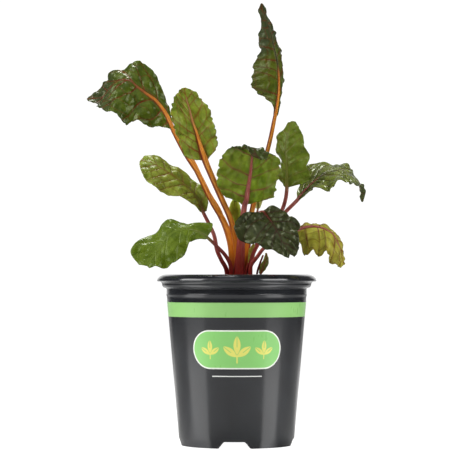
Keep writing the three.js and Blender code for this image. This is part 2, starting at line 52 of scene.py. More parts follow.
viewpoint.rotation_euler = (looked_at - eye).to_track_quat("-Z", "Y").to_euler()
bpy.context.scene.collection.objects.link(viewpoint)
bpy.context.scene.camera = viewpoint


# Nursery pot. One thin shell of dark recycled plastic, drawn down hot over a mould: a rolled lip, a
# stacking shoulder, a tapered wall and a foot ring with four notches. Drain holes are punched through its
# raised gutter.
POT_STEPS = 192
CORNER = 0.35
NOTCH_HEIGHT = 4.8
NOTCH_HALF_FOOT = 11.35
NOTCH_HALF_TOP = 7.3
NOTCH_TURN = math.radians(-92.6)
DRAIN_RADIUS = 3.5
DRAIN_CIRCLE = 30
LABEL_RADIUS = 46
LABEL_HEIGHT = 69
pot_profile = [
    (0, 3), (15.5, 3), (18, 5), (38.7, 5), (38.8, 0), (40, 0), (41.1, 5.4), (49.6, 101.6), (49.6, 103.9),
    (49.7, 105.2), (50.2, 107), (50, 107.6), (50, 111.2), (52.3, 112), (53.2, 113.4), (53.3, 114.7),
    (53.8, 115.6), (55, 116.2), (56.2, 116.1), (57, 116.7), (56.6, 118.1), (54.9, 119.9), (52.4, 121),
    (50.3, 121.2), (49.2, 120.4), (49.5, 118.2), (50.8, 116.4), (52.3, 114.8), (52.3, 113.9), (51.3, 112.9),
    (49.6, 111.7), (48.8, 103.6), (40.3, 7), (39.4, 6), (17.6, 6), (15.1, 4), (0, 4),
]


def eased(profile, radius):
    """The profile with each corner turned into a short curve."""
    line = [Vector(point) for point in profile]
    soft = [line[0]]
    for before, corner, after in zip(line, line[1:], line[2:]):
        reach = min(radius, 0.42 * (corner - before).length, 0.42 * (after - corner).length)
        start = corner + (before - corner).normalized() * reach
        end = corner + (after - corner).normalized() * reach
        for share in (-0.15, 0, 0.33, 0.67, 1, 1.15):
            if share < 0:
                soft.append(start + (start - corner) * 0.3)
            elif share > 1:
                soft.append(end + (end - corner) * 0.3)
            else:
                soft.append(start.lerp(corner, share).lerp(corner.lerp(end, share), share))
    return soft + [line[-1]]


def turned(profile, steps):
    """A body turned round the upright axis from a profile of radius and height, closed at its poles."""
    shape = bmesh.new()
    rings = [shape.verts.new((point[0] * MM, 0, point[1] * MM)) for point in profile]
    line = [shape.edges.new(pair) for pair in zip(rings, rings[1:])]
    bmesh.ops.spin(
        shape, geom=rings + line, cent=(0, 0, 0), axis=(0, 0, 1), angle=2 * math.pi, steps=steps,
        use_merge=True,
    )
    bmesh.ops.remove_doubles(shape, verts=shape.verts, dist=1e-6)
    bmesh.ops.recalc_face_normals(shape, faces=shape.faces)
    return shape


def finished(name, shape, node, slot, *paints):
    """The shape as a smooth piece of that name, in place of a solid and with its finish."""
    mesh = bpy.data.meshes.new(name)
    for face in shape.faces:
        face.smooth = True
    shape.to_mesh(mesh)
    shape.free()
    piece = bpy.data.objects.new(name, mesh)
    bpy.context.scene.collection.objects.link(piece)
    for paint in paints:
        mesh.materials.append(paint)
    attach(piece, "root")
    if node is not None:
        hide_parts(node)
    return piece


def lift_notches(shape):
    """Raises the foot ring's edge in four places, so that water can run out from under the pot."""
    for vert in shape.verts:
        radius = Vector(vert.co.xy).length / MM
        height = vert.co.z / MM
        if radius < 38.5 or height > NOTCH_HEIGHT:
            continue
        turn = math.atan2(vert.co.y, vert.co.x) - NOTCH_TURN
        quarter = (turn + math.pi / 4) % (math.pi / 2) - math.pi / 4
        aside = abs(quarter) * radius
        slope = (NOTCH_HALF_FOOT - aside) / (NOTCH_HALF_FOOT - NOTCH_HALF_TOP)
        raised = max(height, NOTCH_HEIGHT * min(1, max(0, slope)))
        if radius > 39.4:
            wider = (40 + 1.1 * raised / 5.4) / radius if height < raised else 1
            vert.co.x *= wider
            vert.co.y *= wider
        vert.co.z = raised * MM


class Wire:
    """An output in a material's nodes. Sums on it add Math nodes, and add() puts in any other node."""

    def __init__(self, tree, socket=None):
        self.tree = tree
        self.socket = socket

    def add(self, kind, settings, sockets, output=0):
        node = self.tree.nodes.new(kind)
        for name, value in settings.items():
            if name == "stops":
                ramp = node.color_ramp
                for place, colour in value[1:-1]:
                    ramp.elements.new(place).color = (*colour, 1)
                for at, (place, colour) in ((0, value[0]), (-1, value[-1])):
                    ramp.elements[at].position = place
                    ramp.elements[at].color = (*colour, 1)
            else:
                setattr(node, name, value)
        for name, value in sockets.items():
            if isinstance(value, Wire):
                self.tree.links.new(value.socket, node.inputs[name])
            else:
                node.inputs[name].default_value = value
        return Wire(self.tree, node.outputs[output] if node.outputs else None)

    def maths(self, operation, *values):
        return self.add("ShaderNodeMath", {"operation": operation}, dict(enumerate(values)))

    def sum_of(operation, swapped=False):
        """A method that does a sum on the wire and what follows it, or comes before it if swapped."""
        def work(self, *others):
            return self.maths(operation, *((*others, self) if swapped else (self, *others)))

        return work

    __add__, __radd__ = sum_of("ADD"), sum_of("ADD", True)
    __sub__, __rsub__ = sum_of("SUBTRACT"), sum_of("SUBTRACT", True)
    __mul__, __rmul__ = sum_of("MULTIPLY"), sum_of("MULTIPLY", True)
    __truediv__, __pow__ = sum_of("DIVIDE"), sum_of("POWER")
    __abs__, __floor__ = sum_of("ABSOLUTE"), sum_of("FLOOR")
    sine, at_least = sum_of("SINE"), sum_of("MAXIMUM")

    def __neg__(self):
        return self * -1

    def rise(self, low, high):
        """0 below low, 1 above high and smooth between."""
        settings = {"interpolation_type": "SMOOTHSTEP"}
        return self.add("ShaderNodeMapRange", settings, {"Value": self, "From Min": low, "From Max": high})

    def parts(self):
        split = self.add("ShaderNodeSeparateXYZ", {}, {0: self})
        return [Wire(self.tree, output) for output in split.socket.node.outputs]

    def grain(self, scale, detail=3, rough=0.55):
        """Noise over the places that this wire carries, from about 0.25 to 0.75."""
        sockets = {"Vector": self, "Scale": scale, "Detail": detail, "Roughness": rough}
        return self.add("ShaderNodeTexNoise", {}, sockets)

    def stretched(self, *scale):
        return self.add("ShaderNodeVectorMath", {"operation": "MULTIPLY"}, {0: self, 1: scale})

    def blend(self, first, second):
        """The first colour where this wire is 0 and the second where it is 1."""
        colours = [(*c, 1) if isinstance(c, tuple) else c for c in (first, second)]
        sockets = {0: self, 6: colours[0], 7: colours[1]}
        return self.add("ShaderNodeMix", {"data_type": "RGBA"}, sockets, output=2)


def tint(code):
    """A colour as light strengths, from its usual six-letter code."""
    parts = [int(code[i : i + 2], 16) / 255 for i in (0, 2, 4)]
    return tuple(part / 12.92 if part < 0.04045 else ((part + 0.055) / 1.055) ** 2.4 for part in parts)


def new_paint(name):
    """A bare material and a wire that starts its nodes."""
    paint = bpy.data.materials.new(name)
    paint.use_nodes = True
    paint.node_tree.nodes.clear()
    return paint, Wire(paint.node_tree)


def wear(start, colour, roughness, relief, depth, **fixed):
    """Ends a material: a surface of that colour and roughness, with relief of the given depth in metres."""
    bump = start.add("ShaderNodeBump", {}, {"Strength": 1.0, "Distance": depth, "Height": relief})
    sockets = {"Base Color": colour, "Roughness": roughness, "Normal": bump}
    for name, value in fixed.items():
        sockets[name.replace("_", " ")] = value
    surface = start.add("ShaderNodeBsdfPrincipled", {}, sockets)
    start.add("ShaderNodeOutputMaterial", {}, {"Surface": surface})


def pot_paint():
    """Dark recycled plastic, printed with a light green band round it and three plant marks on its front."""
    paint, start = new_paint("pot_plastic")
    place = start.add("ShaderNodeTexCoord", {}, {}, output=3)
    x, y, z = place.parts()
    height = z / MM
    around = x.maths("ARCTAN2", x, -y) * LABEL_RADIUS
    clouding = place.grain(60, 2)
    drawn = place.stretched(1, 1, 0.08).grain(420, 3)
    plastic = clouding.rise(0.3, 0.7).blend(tint("15161a"), tint("1c1e22"))

    band = height.rise(91.2, 91.4) * (1 - height.rise(101.4, 101.6))
    up = height - LABEL_HEIGHT
    panel_ends = (abs(around) - 19).at_least(0)
    from_middle = (panel_ends * panel_ends + up * up) ** 0.5
    outline = 1 - from_middle.rise(13.4, 13.6)
    panel = 1 - from_middle.rise(12.5, 12.7)

    def printed_leaf(across, over, lean, length, width):
        """A printed leaf, pointed at both ends, with its middle there and leaning so many degrees."""
        turn = math.radians(lean)
        aside, above = around - across, up - over
        along = aside * math.sin(turn) + above * math.cos(turn)
        off = aside * math.cos(turn) - above * math.sin(turn)
        half = width * (1 - along * along / length**2)
        vein = 1 - abs(off).rise(0.12, 0.3)
        return (half - abs(off)).rise(-0.08, 0.08) * (1 - vein * (along + length * 0.2).rise(0, 0.1))

    marks = None
    for across, size in ((-19, 0.8), (0, 1.15), (19, 0.8)):
        for lean, side, over, length in ((-52, -1, -1.2, 5.2), (52, 1, -1.2, 5.2), (0, 0, 2.6, 5.8)):
            leaf = printed_leaf(across + side * 4.3 * size, over * size, lean, length * size, 2.1 * size)
            marks = leaf if marks is None else marks.at_least(leaf)
        stem_off = abs(around - across).rise(0.3 * size, 0.5 * size)
        stem = (1 - stem_off) * (up + 8.2 * size).rise(-0.1, 0.1) * (1 - (up + 3 * size).rise(-0.1, 0.1))
        marks = marks.at_least(stem)
    rule = (1 - abs(height - 50.5).rise(0.25, 0.45)) * (1 - abs(around).rise(17.9, 18.1))
    front = (-y).rise(0, 0.001)

    colour = band.blend(plastic, tint("88bb6d"))
    colour = (outline * front).blend(colour, tint("e2e6dc"))
    colour = (panel * front).blend(colour, tint("7fbf68"))
    colour = (marks * panel * front).blend(colour, tint("d6d268"))
    colour = (rule * front).blend(colour, tint("d8dad6"))
    ink = band.at_least(outline * front).at_least(rule * front)
    roughness = 0.12 + 0.08 * clouding + 0.06 * drawn + 0.1 * ink - 0.07 * height.rise(115.2, 116.2)
    relief = drawn * (0.3 - 0.3 * ink) + place.grain(26, 1) * 0.7 + ink * 0.4
    wear(start, colour, roughness, relief, 0.00004, Specular_IOR_Level=0.5)
    return paint


pot = turned(eased(pot_profile, CORNER), POT_STEPS)
lift_notches(pot)
pot = finished("moulded_pot", pot, "nursery_pot", "pot_plastic", pot_paint())
punch = bmesh.new()
for quarter in range(4):
    spot = Matrix.Rotation(NOTCH_TURN + quarter * math.pi / 2, 4, "Z")
    spot = spot @ Matrix.Translation(Vector((DRAIN_CIRCLE, 0, 5.5)) * MM)
    bmesh.ops.create_cone(
        punch, cap_ends=True, segments=24, radius1=DRAIN_RADIUS * MM, radius2=DRAIN_RADIUS * MM,
        depth=4 * MM, matrix=spot,
    )
punch_mesh = bpy.data.meshes.new("drain_punch")
punch.to_mesh(punch_mesh)
punch.free()
punch = bpy.data.objects.new("drain_punch", punch_mesh)
bpy.context.scene.collection.objects.link(punch)
cut = pot.modifiers.new("drain_holes", "BOOLEAN")
cut.object = punch
cut.operation = "DIFFERENCE"
bpy.context.view_layer.update()
holed = bpy.data.meshes.new_from_object(pot.evaluated_get(bpy.context.evaluated_depsgraph_get()))
pot.modifiers.clear()
pot.data = holed
bpy.data.objects.remove(punch)


# Potting mix. Dark peat filled to a little below the rim and pressed down round the plants, with loose
# crumbs, bits of bark and white perlite grains lying on it.
SOIL_TOP = 109
CLUMP = Vector((3.4, 2.2))
soil_profile = [
    (0, 4.3), (15, 4.3), (17.5, 6.3), (38.9, 6.3), (39.8, 7.4), (44, 55), (48.2, 103.6), (48.5, 106),
    (48.55, 107.5),
]
soil_profile += [(48.5 - step * 0.5, SOIL_TOP) for step in range(97)] + [(0, SOIL_TOP)]


def soil_height(x, y):
    """Height of the mix at a place, in millimetres."""
    away = (Vector((x, y)) - CLUMP).length
    share = min(1, max(0, (away - 15) / 12))
    dish = 3.4 * (1 - share * share * (3 - 2 * share))
    lumps = math.sin(x * 0.31 + 1.3) * math.cos(y * 0.27 - 0.4) + 0.6 * math.sin(x * 0.17 - y * 0.41)
    return SOIL_TOP - dish + 0.7 * lumps


def soil_paint():
    paint, start = new_paint("potting_mix")
    place = start.add("ShaderNodeTexCoord", {}, {}, output=3)
    lump = place.grain(230, 5, 0.7)
    crumb = place.grain(900, 4, 0.7)
    fibre = place.stretched(1, 0.25, 1).grain(700, 2)
    colour = lump.rise(0.35, 0.7).blend(tint("1a120c"), tint("3a2a1d"))
    colour = crumb.rise(0.55, 0.75).blend(colour, tint("543d29"))
    colour = fibre.rise(0.64, 0.7).blend(colour, tint("7a5b3a"))
    wear(start, colour, 0.85 + 0.12 * crumb, lump * 0.4 + crumb * 0.6, 0.0012, Specular_IOR_Level=0.25)
    return paint


bed = turned(soil_profile, 180)
for vert in bed.verts:
    x, y, z = vert.co / MM
    if z > SOIL_TOP - 0.01:
        rough = noise.fractal(Vector((x, y, 3)) * 0.35, 0.8, 2.1, 4)
        rough += 0.6 * noise.noise(Vector((x, y, 9)) * 1.3)
        edge = min(1, max(0, (48.6 - math.hypot(x, y)) / 2))
        vert.co.z = (soil_height(x, y) + rough * 1.1 * edge) * MM
finished("pressed_mix", bed, "potting_soil", "potting_mix", soil_paint())

chance = random.Random(14)


def scattered(count, sizes, flatness, sunk):
    """That many rough grains lying on top of the mix, in sizes between two limits in millimetres."""
    heap = bmesh.new()
    one = bpy.data.meshes.new("grain")
    for _ in range(count):
        reach, turn = 47 * math.sqrt(chance.random()), chance.uniform(0, 2 * math.pi)
        x, y = reach * math.cos(turn), reach * math.sin(turn)
        if (Vector((x, y)) - CLUMP).length < 17:
            continue
        size = chance.uniform(*sizes) * (0.6 + 0.8 * chance.random() ** 3)
        spot = Matrix.Translation(Vector((x, y, soil_height(x, y) + 0.3 + size * flatness * sunk)) * MM)
        lie = Matrix.Rotation(chance.uniform(0, 6.28), 4, "Z")
        lie = lie @ Matrix.Rotation(chance.uniform(-0.5, 0.5), 4, "X")
        shaped = Matrix.Diagonal((size * chance.uniform(0.8, 1.6), size, size * flatness, 1))
        grain = bmesh.new()
        bmesh.ops.create_icosphere(grain, subdivisions=1, radius=MM)
        for vert in grain.verts:
            vert.co *= chance.uniform(0.75, 1.2)
        grain.transform(spot @ lie @ shaped)
        grain.to_mesh(one)
        grain.free()
        heap.from_mesh(one)
    bpy.data.meshes.remove(one)
    return heap


def grain_paint(name, dark, light, scale):
    paint, start = new_paint(name)
    place = start.add("ShaderNodeTexCoord", {}, {}, output=3)
    mottle = place.grain(scale, 4, 0.65)
    colour = mottle.rise(0.35, 0.68).blend(tint(dark), tint(light))
    wear(start, colour, 0.8 + 0.15 * mottle, mottle, 0.0004, Specular_IOR_Level=0.3)
    return paint


for name, count, sizes, flatness, sunk, dark, light, scale in (
    ("peat_crumbs", 1000, (0.5, 1.3), 0.75, 0.3, "1c130d", "4a3523", 500),
    ("bark_chips", 150, (0.9, 2.2), 0.35, 0.5, "3b2413", "7d5633", 350),
    ("perlite_grains", 80, (0.6, 1.3), 0.85, 0.4, "b9b4a8", "eae7de", 600),
):
    grains = scattered(count, sizes, flatness, sunk)
    finished(name, grains, None, "potting_mix", grain_paint(name, dark, light, scale))


# Crowns. Two seedlings grown tight together, each a swollen dark red base of closely packed leaf bases that
# tapers into its taproot in the mix. Old leaf scars ring them, and mix clings to them low down.
CROWN_HEIGHT = 104
CROWN_SPLIT = math.radians(24)
CROWN_GAP = 0.00015
crown_profile = [
    (0, -24), (2.5, -24), (3.6, -20), (4.8, -16), (6, -13.2), (9, -9), (11.9, -4.8), (13.5, -2.4),
]
for rise in range(18):
    lean = rise * math.pi / 36
    crown_profile.append((14.5 * math.cos(lean), 9 * math.sin(lean)))
crown_profile.append((0, 9))


def crown_paint():
    paint, start = new_paint("crown_flesh")
    place = start.add("ShaderNodeTexCoord", {}, {}, output=3)
    z = place.parts()[2] / MM
    fibre = place.stretched(1, 1, 0.25).grain(420, 4, 0.6)
    scar = (z * 1.7 + place.grain(120, 2) * 5).sine()
    colour = fibre.rise(0.35, 0.65).blend(tint("3d0508"), tint("7c1620"))
    colour = (scar.rise(0.6, 1) * 0.5).blend(colour, tint("8c5a45"))
    clinging = (place.grain(300, 4, 0.7) + (109 - z) * 0.12).rise(0.55, 0.75)
    colour = clinging.blend(colour, tint("2c1d13"))
    roughness = 0.42 + 0.45 * clinging
    wear(start, colour, roughness, fibre * 0.6 + scar * 0.2, 0.0005, Subsurface_Weight=0.15,
         Subsurface_Scale=0.001, Subsurface_Radius=(1.0, 0.35, 0.25))
    return paint


crown_flesh = crown_paint()
for side, hue in ((1, "orange"), (-1, "red")):
    crown = turned(crown_profile, 96)
    bmesh.ops.subdivide_edges(crown, edges=crown.edges, cuts=1)
    away = Matrix.Rotation(CROWN_SPLIT, 3, "Z") @ Vector((0, side, 0))
    halves = bmesh.ops.bisect_plane(
        crown, geom=crown.verts[:] + crown.edges[:] + crown.faces[:], plane_co=away * CROWN_GAP,
        plane_no=-away, clear_outer=True,
    )
    rim = [part for part in halves["geom_cut"] if isinstance(part, bmesh.types.BMEdge)]
    bmesh.ops.holes_fill(crown, edges=rim)
    for vert in crown.verts:
        turn = math.atan2(vert.co.y, vert.co.x)
        height = vert.co.z / MM
        swell = 1 - 0.05 * abs(math.sin(turn * 4.5 + side + height * 0.05))
        swell -= 0.03 * math.sin(height * 1.9) ** 2
        vert.co.x, vert.co.y = vert.co.x * swell, vert.co.y * swell * 0.9
        vert.co += Vector((CLUMP.x, CLUMP.y, CROWN_HEIGHT)) * MM
    bmesh.ops.recalc_face_normals(crown, faces=crown.faces)
    seedling = f"{hue}_seedling"
    finished(f"swollen_base_of_{seedling}", crown, f"crown_of_{seedling}", f"crown_{hue}", crown_flesh)


# Leaves. Each is a fleshy stalk, grooved and finely ribbed, that runs on as the midrib of a thin, glossy,
# puckered blade. The stalk's points lead up from the crown. A row is a point on the blade's left margin,
# one on its midrib and one on its right margin, from neck to tip, in millimetres.
BLADE_THICKNESS = 0.0005
BLADE_CELL = 0.75
FOOT_FLARE = 0.35
GROOVE = 0.35


def on_path(points, share):
    """The point at that share, 0 to 1, of a smooth path through the points."""
    last = len(points) - 1
    step = min(int(share * last), last - 1)
    part = share * last - step
    a, b = points[step], points[step + 1]
    before = points[step - 1] if step > 0 else 2 * a - b
    after = points[step + 2] if step + 2 <= last else 2 * b - a
    leave, arrive = (b - before) / 2, (after - a) / 2
    bend = 3 * (b - a) - 2 * leave - arrive
    return a + leave * part + bend * part**2 + (2 * (a - b) + leave + arrive) * part**3


def eased_between(value, low, high):
    share = min(1, max(0, (value - low) / max(high - low, 1e-6)))
    return share * share * (3 - 2 * share)


def sine(value):
    return value.sine() if isinstance(value, Wire) else math.sin(value)


def vein_net(along, across, left, spacing, slant):
    """How far a place on a blade lies from its side veins and from the cross veins between them.

    Each is 0 on a vein and 1 midway. It takes numbers in metres for the mesh and wires for the paint.
    """
    wander = sine(along * 230 + 1.7 + left) * 0.15 + sine(across * 330 - along * 190 + left * 2) * 0.07
    order = (along - slant * across + 3.5 * slant * across * across) / spacing + wander + left * 0.5
    order = order + sine(order * 2.4 + left * 1.3) * 0.16
    number = math.floor(order)
    beside = 1 - abs((order - number) * 2 - 1)
    rung = across / (spacing * 0.62) + sine(number * 2.4) * 0.45
    rung = rung + sine(along * 410 + number) * 0.16 + order * 0.4
    crosswise = 1 - abs((rung - math.floor(rung)) * 2 - 1)
    return beside, crosswise


def blade_paint(
    name, young, deep, vein, spacing, slant, bold, roughness, tinged=None, tinge=0.0, net=0.35, tip=None
):
    """The skin on one side of a blade: green between its veins and more like them near the midrib."""
    paint, start = new_paint(name)
    grown = start.add("ShaderNodeAttribute", {"attribute_name": "grown"}, {}, output=1)
    share = start.add("ShaderNodeAttribute", {"attribute_name": "share"}, {}, output=1)
    along, signed, _ = grown.parts()
    tipward, outward, rib_half = share.parts()
    across = abs(signed)
    left = signed.maths("LESS_THAN", signed, 0)
    beside, crosswise = vein_net(along, across, left, spacing, slant)
    outward = abs(outward)

    fade = 1 - outward * 0.75
    side_off = beside * (spacing / 2 / math.hypot(1, slant) / MM)
    side_half = fade * bold
    side_vein = 1 - (side_off - side_half).rise(-0.12, 0.4)
    flush = 1 - (side_off - side_half).rise(-0.2, 1.5)
    cross_vein = (1 - (crosswise * spacing * 0.31 / MM).rise(0.08, 0.5)) * net
    edges = {"feature": "DISTANCE_TO_EDGE"}
    cells = grown.add("ShaderNodeTexVoronoi", edges, {"Vector": grown, "Scale": 620})
    fine_vein = 1 - cells.rise(0.02, 0.14)
    mottle = grown.grain(90, 3, 0.6)
    speck = grown.grain(900, 3, 0.6)

    rib_flush = 1 - ((across / MM - rib_half) / (rib_half + 0.3)).rise(-0.3, 0.9)
    # Painted shade: the green is lighter midway between veins and darkens towards them, where the blade
    # creases.
    green = (mottle.rise(0.34, 0.66) * 0.75 + beside * crosswise * 0.25).blend(tint(deep), tint(young))
    green = (fine_vein * 0.3).blend(green, tint(deep))
    if tinged is not None:
        patch = (grown.grain(38, 3, 0.6) + outward * 0.12).rise(0.5 - tinge * 0.25, 0.72 - tinge * 0.2)
        green = (patch * tinge).blend(green, tint(tinged))
    if tip is not None:
        green = (tipward + outward * 0.1).rise(*tip[1:]).blend(green, tint(tip[0]))
    colour = (flush * 0.2).blend(green, tint(vein))
    colour = cross_vein.blend(colour, tint(vein))
    strong = 0.4 + 0.6 * grown.grain(75, 2).rise(0.35, 0.6)
    colour = (side_vein * strong * (1 - 0.6 * outward * outward)).blend(colour, tint(vein))
    colour = (rib_flush * 0.6).blend(colour, tint(vein))
    relief = (1 - side_vein) * 0.5 + (1 - cross_vein) * 0.2 + cells.rise(0, 0.3) * 0.07 + speck * 0.06
    shine = roughness + 0.08 * speck + 0.08 * mottle
    wear(start, colour, shine, relief, 0.00028, Subsurface_Weight=0.2, Subsurface_Scale=0.0006,
         Subsurface_Radius=(0.8, 1.0, 0.2), Specular_IOR_Level=0.22, Specular_Tint=(0.9, 1.0, 0.6, 1))
    return paint


def stalk_paint(name, foot, low, body, edge, light, reddened, rust_and_left_shade):
    """Stalk flesh: dark red at the crown, then its own colour in pale and dark ribs, then the leaf's. Its
    pale streaks double as painted sheen, and the side facing left is painted darker as shade.
    """
    paint, start = new_paint(name)
    grown = start.add("ShaderNodeAttribute", {"attribute_name": "grown"}, {}, output=1)
    worn_out = start.add("ShaderNodeAttribute", {"attribute_name": "worn_out"}, {}, output=1)
    along, _, leftward = grown.parts()
    faded, greener, _ = worn_out.parts()
    along = along / MM
    lines = grown.stretched(60, 1.1, 0).grain(2.6, 4, 0.6)
    streak = grown.stretched(26, 2.6, 0).grain(3.2, 3, 0.6)
    colour = lines.rise(0.36, 0.66).blend(tint(edge), tint(body))
    # Pale streaks along the flesh, strengthened so they also stand in for glossy highlights: partly the
    # flesh's own streaks, partly painted sheen.
    colour = (streak.rise(0.47, 0.66) * 0.7).blend(colour, tint(light))
    rust = (along + 16 * streak).rise(142, 186)
    colour = (rust * rust_and_left_shade * 0.65).blend(colour, tint("86401c"))
    # Painted shade: flesh facing left is darkened to a deep red-brown as if in shadow, fully on the orange
    # stalks and faintly on the red ones.
    painted_left_shade = (leftward + lines * 0.3).rise(0.36, 0.8)
    colour = (painted_left_shade * rust_and_left_shade).blend(colour, tint("6a240a"))
    warm = 1 - (along + 12 * streak).rise(reddened + 18, reddened + 46)
    colour = (warm * 0.85).blend(colour, tint(low))
    red = 1 - (along + 9 * streak).rise(reddened, reddened + 16)
    colour = red.blend(colour, lines.rise(0.35, 0.65).blend(tint(foot), tint("861210")))
    shades = ("481410", "a87c50", "86561f", "5f6c28", "333a18")
    ramp = {"stops": [(step / 4, tint(shade)) for step, shade in enumerate(shades)]}
    colour = faded.blend(colour, start.add("ShaderNodeValToRGB", ramp, {0: greener}))
    relief = lines * 0.7 + streak * 0.3
    wear(start, colour, 0.3 + 0.16 * lines, relief, 0.0005, Subsurface_Weight=0.2, Subsurface_Scale=0.0008,
         Subsurface_Radius=(1.0, 0.45, 0.2), Specular_IOR_Level=0.2)
    return paint


class Leaf:
    """The lines a leaf grows on. facing is -1 where its upper side is in front and 1 where its back is."""

    def __init__(self, stalk, rows, facing, widths):
        self.rib = [Vector(point) for point in stalk] + [Vector(row[3:6]) for row in rows]
        self.sides = [[Vector(row[at : at + 3]) for row in rows] for at in (0, 6)]
        self.neck = len(stalk) / (len(stalk) + len(rows) - 1) if rows else 1
        self.facing = facing
        self.widths = widths
        self.measured = {}

    def half_width(self, share):
        foot, neck, tip, swell = self.widths
        if share <= self.neck:
            part = share / self.neck
            return foot + (neck - foot) * part + swell * math.sin(math.pi * part)
        part = (share - self.neck) / (1 - self.neck)
        return tip + (neck - tip) * (1 - part) ** 2

    def station(self, share):
        """The rib's point, the ways along, across and to the leaf's upper side, and the length so far."""
        if share not in self.measured:
            after, before = on_path(self.rib, min(1, share + 1e-4)), on_path(self.rib, max(0, share - 1e-4))
            along = (after - before).normalized()
            across = Vector((1, 0, 0))
            if self.sides[0]:
                row = max(0, (share - self.neck) / (1 - self.neck))
                across = on_path(self.sides[1], row) - on_path(self.sides[0], row)
            across = (across - along * across.dot(along)).normalized()
            upper = along.cross(across) * self.facing
            steps = max(1, round(share * 120))
            passed = [on_path(self.rib, share * step / steps) for step in range(steps + 1)]
            length = sum((b - a).length for a, b in zip(passed, passed[1:]))
            self.measured[share] = (passed[-1], along, across, upper, length)
        return self.measured[share]


def blade_shape(leaf, rows, columns, spacing, slant, waves, pucker, ruffle, teeth):
    """A blade: a sheet laid on the leaf's lines, waved, ruffled at its margin and puckered between veins."""
    sheet = bmesh.new()
    grown = sheet.verts.layers.float_vector.new("grown")
    share = sheet.verts.layers.float_vector.new("share")
    bmesh.ops.create_grid(sheet, x_segments=columns, y_segments=rows, size=1)
    height, count, phase = waves
    neck_length = leaf.station(leaf.neck)[4]
    for vert in sheet.verts:
        v, u = vert.co.x, round((vert.co.y + 1) / 2, 6)
        rib, along, across, upper, length = leaf.station(leaf.neck + (1 - leaf.neck) * u)
        reach = on_path(leaf.sides[0 if v < 0 else 1], u) - rib
        out = abs(v)
        rise = reach.dot(upper)
        reach -= upper * rise
        half = leaf.half_width(leaf.neck + (1 - leaf.neck) * u)
        wide = reach.length
        passed = length - neck_length
        side = math.copysign(1, v)
        tooth = abs(math.sin(passed * math.pi / teeth[1] + side + 0.6 * math.sin(passed * 0.9)))
        reach *= 1 - teeth[0] * out**4 * (1 - tooth) * min(1, 5 * (1 - u))
        seat = 1 - eased_between(abs(reach.dot(across)) * out, 1.2 * half, 3.5 * half)
        wave = height * min(1, 6 * u * (1 - u))
        ripple = wave * math.sin(2 * math.pi * count * u + phase + (side if v else 0))
        swing = passed * 2 * math.pi / ruffle[1] + side * 1.7 + math.sin(passed * 0.37)
        curl = ruffle[0] * out**3 * math.sin(swing) * min(1, 8 * u * (1.02 - u))
        lift = 0.2 * half * seat + ((rise + ripple) * out**2 + curl) * (1 - seat)
        vert.co = rib + reach * out + upper * lift
        vert[grown] = (passed * MM, v * wide * MM, 0)
        vert[share] = (u, v, half)
    if leaf.facing > 0:
        bmesh.ops.reverse_faces(sheet, faces=sheet.faces)
    sheet.normal_update()
    moves = []
    for vert in sheet.verts:
        along, signed, _ = vert[grown]
        out = abs(vert[share].y)
        beside, crosswise = vein_net(along, abs(signed), 1.0 if signed < 0 else 0.0, spacing, slant)
        clear = eased_between(abs(signed) / MM, vert[share].z, vert[share].z + 4) * (1 - 0.5 * out**4)
        bulge = math.sin(beside * math.pi / 2) ** 0.8 * (0.6 + 0.4 * math.sin(crosswise * math.pi / 2))
        uneven = noise.noise(vert.co * 0.2) * 0.75 + noise.noise(vert.co * 0.55) * 0.2
        crease = 0.3 - 1.5 * abs(noise.noise(vert.co * 0.17 + Vector((5, 5, 5))))
        local = 0.65 + 0.9 * noise.noise(vert.co * 0.09)
        moves.append(vert.normal * (pucker * clear * ((bulge - 0.45) * local + 0.55 * uneven + 0.5 * crease)))
    for vert, move in zip(sheet.verts, moves):
        vert.co = (vert.co + move) * MM
    return sheet


def stalk_shape(leaf, rings, fade):
    """A stalk: a bar bent along the rib, grooved on its upper side and ribbed along its length.

    fade is the shares of the blade between which it takes on the leaf's colour, and how green that is.
    """
    bar = bmesh.new()
    grown = bar.verts.layers.float_vector.new("grown")
    worn_out = bar.verts.layers.float_vector.new("worn_out")
    bmesh.ops.create_cone(bar, cap_ends=True, segments=28, radius1=1, radius2=1, depth=2)
    risers = [edge for edge in bar.edges if abs(edge.verts[0].co.z - edge.verts[1].co.z) > 1]
    bmesh.ops.subdivide_edges(bar, edges=risers, cuts=rings)
    end = leaf.neck + (1 - leaf.neck) * 0.97
    for vert in bar.verts:
        share = round((vert.co.z + 1) / 2 * end, 6)
        rib, _, across, upper, length = leaf.station(share)
        turn = math.atan2(vert.co.y, vert.co.x)
        half = leaf.half_width(share) * (1 + FOOT_FLARE * math.exp(-length / 7))
        half *= 1 - 0.75 * eased_between(share, leaf.neck + (end - leaf.neck) * 0.75, end)
        ribbed = 1 + 0.035 * math.cos(turn * 9 + length * 0.02) + 0.02 * math.cos(turn * 14 + length * 0.05)
        aside, over = math.cos(turn) * ribbed, math.sin(turn) * 0.8 * ribbed
        if over > 0:
            over *= 1 - GROOVE * math.exp(-((aside / 0.5) ** 2)) * (1 - eased_between(share, leaf.neck, end))
        outward = across * aside + upper * over
        vert.co = (rib + outward * half) * MM
        # The third number is how far the flesh faces left, for the painted shade on the stalks' left sides.
        vert[grown] = (length * MM, turn, -outward.normalized().x)
        on_blade = (share - leaf.neck) / max(1 - leaf.neck, 1e-6)
        vert[worn_out] = (eased_between(on_blade, fade[0], fade[1]), fade[2], 0)
    bmesh.ops.recalc_face_normals(bar, faces=bar.faces)
    return bar


